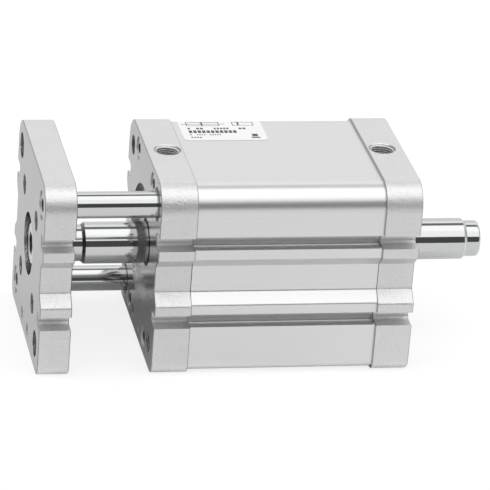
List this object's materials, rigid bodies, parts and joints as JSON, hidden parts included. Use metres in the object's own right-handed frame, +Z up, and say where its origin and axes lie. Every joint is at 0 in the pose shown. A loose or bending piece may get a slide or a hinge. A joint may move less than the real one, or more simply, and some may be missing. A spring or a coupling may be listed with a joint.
{
  "type": "compact pneumatic cylinder",
  "caption": "Guided compact pneumatic cylinder with a square profiled aluminium body, a front plate on two guide rods, a through piston rod and air ports on top.",
  "frame": {"origin": "on the piston rod's axis in the rear cover's outer face", "axes": "+X along the rod and out of the rear cover, away from the guide plate; +Z up to the face with the air ports; +Y away from the camera's side"},
  "size_m": [0.175, 0.076, 0.076],
  "materials": {
    "blasted_aluminium": "machined, glass blasted and clear anodised",
    "anodised_barrel": "extruded, brushed lengthwise and clear anodised",
    "rod_chrome": "hard chrome plated and polished",
    "screw_steel": "zinc plated",
    "seal_rubber": "moulded nitrile or polyurethane",
    "bush_bronze": "sintered, oil soaked",
    "wiper_plastic": "moulded polymer",
    "piston_aluminium": "turned, bare",
    "magnet_plastic": "plastic-bonded magnet ring",
    "label_film": "printed polyester film"
  },
  "bodies": {
    "housing": {"front_cover": "blasted_aluminium", "rear_cover": "blasted_aluminium", "barrel": "anodised_barrel", "front_cover_screws": "screw_steel", "rear_cover_screws": "screw_steel", "front_rod_seal": "seal_rubber", "rear_rod_seal": "seal_rubber", "front_cover_ring": "seal_rubber", "rear_cover_ring": "seal_rubber", "front_bumper": "seal_rubber", "rear_bumper": "seal_rubber", "front_rod_bush": "bush_bronze", "rear_rod_bush": "bush_bronze", "upper_guide_bush": "bush_bronze", "lower_guide_bush": "bush_bronze", "upper_guide_wiper": "wiper_plastic", "lower_guide_wiper": "wiper_plastic", "label": "label_film"},
    "rod": {"guide_plate": "blasted_aluminium", "plate_centre_screw": "screw_steel", "guide_rod_screws": "screw_steel", "front_piston_rod": "rod_chrome", "rear_piston_rod": "rod_chrome", "upper_guide_rod": "rod_chrome", "lower_guide_rod": "rod_chrome", "front_piston_half": "piston_aluminium", "rear_piston_half": "piston_aluminium", "front_piston_seal": "seal_rubber", "rear_piston_seal": "seal_rubber", "piston_wear_ring": "wiper_plastic", "piston_magnet_ring": "magnet_plastic"}
  },
  "joints": [
    {"name": "rod_slide", "type": "slide", "parent": "housing", "child": "rod", "axis": [-1, 0, 0], "range_m": [-0.023, 0.027]}
  ]
}
